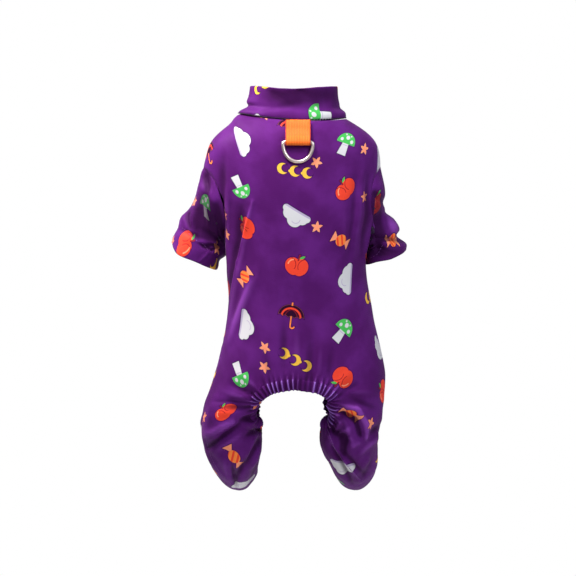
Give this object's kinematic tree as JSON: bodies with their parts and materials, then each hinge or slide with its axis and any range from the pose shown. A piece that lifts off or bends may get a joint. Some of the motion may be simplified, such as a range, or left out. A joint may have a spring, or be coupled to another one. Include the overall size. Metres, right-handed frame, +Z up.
{
  "type": "dog jumpsuit",
  "caption": "Stretch knit dog jumpsuit with stand-up collar, short sleeves, trouser legs, gathered seat opening and a leash ring on a webbing loop, in the shape it has when worn",
  "frame": {"origin": "the middle of the collar seam, where the dog's neck comes out of the body of the suit", "axes": "+Z up along the body towards the neck, -Y out of the dog's back, +X to the right as the back is looked at"},
  "size_m": [0.2354, 0.155, 0.4031],
  "materials": {
    "purple_knit": "smooth stretch jersey with a soft sheen",
    "orange_webbing": "flat woven webbing",
    "ring_steel": "plated, slightly worn"
  },
  "bodies": {
    "garment": {"back_panel": "purple_knit", "belly_panel": "purple_knit", "leg_left": "purple_knit", "leg_right": "purple_knit", "sleeve_left": "purple_knit", "sleeve_right": "purple_knit", "collar": "purple_knit", "seat_casing": "purple_knit", "leash_loop": "orange_webbing"},
    "ring": {"d_ring": "ring_steel"}
  },
  "joints": [
    {"name": "ring_swing", "type": "hinge", "parent": "garment", "child": "ring", "pos_m": [0.004, -0.05758, -0.0237], "axis": [-1, 0, 0], "range_deg": [0, 150]}
  ]
}
